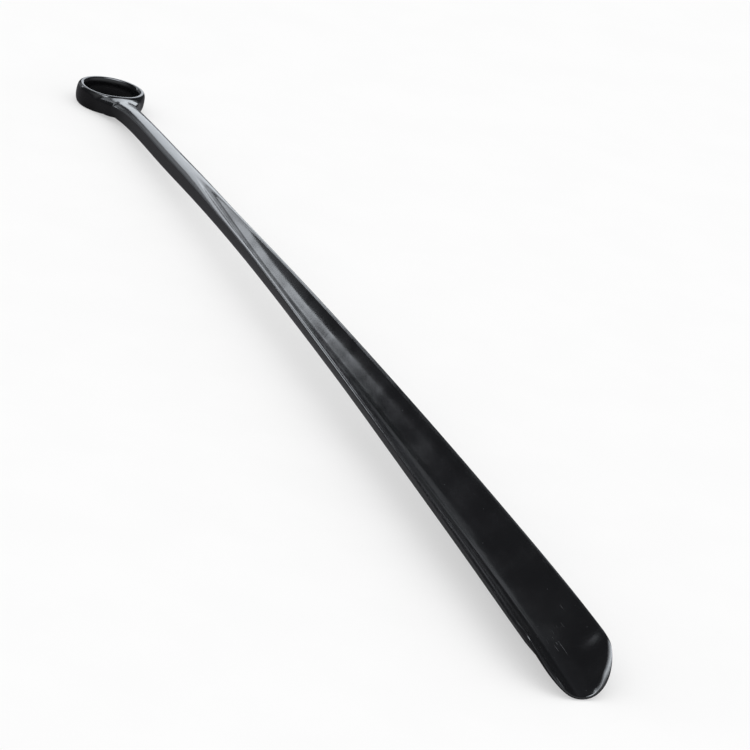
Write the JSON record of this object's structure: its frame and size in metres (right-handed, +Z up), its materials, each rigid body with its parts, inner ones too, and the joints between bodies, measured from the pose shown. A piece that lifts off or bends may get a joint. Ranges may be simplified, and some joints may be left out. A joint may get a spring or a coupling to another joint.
{
  "type": "shoehorn",
  "caption": "Long one-piece plastic shoehorn: a hanging ring, a slim solid shaft and a trough-shaped blade with a rounded tip.",
  "frame": {"origin": "under the middle of the length, on the plane that the ring's flat underside rests on, midway across", "axes": "+X along the length from the hanging ring to the tip, +Y across, +Z up out of the open trough"},
  "size_m": [0.6, 0.0328, 0.0179],
  "materials": {
    "body": "gloss"
  },
  "bodies": {
    "root": {"shoehorn_body": "body"}
  },
  "joints": []
}
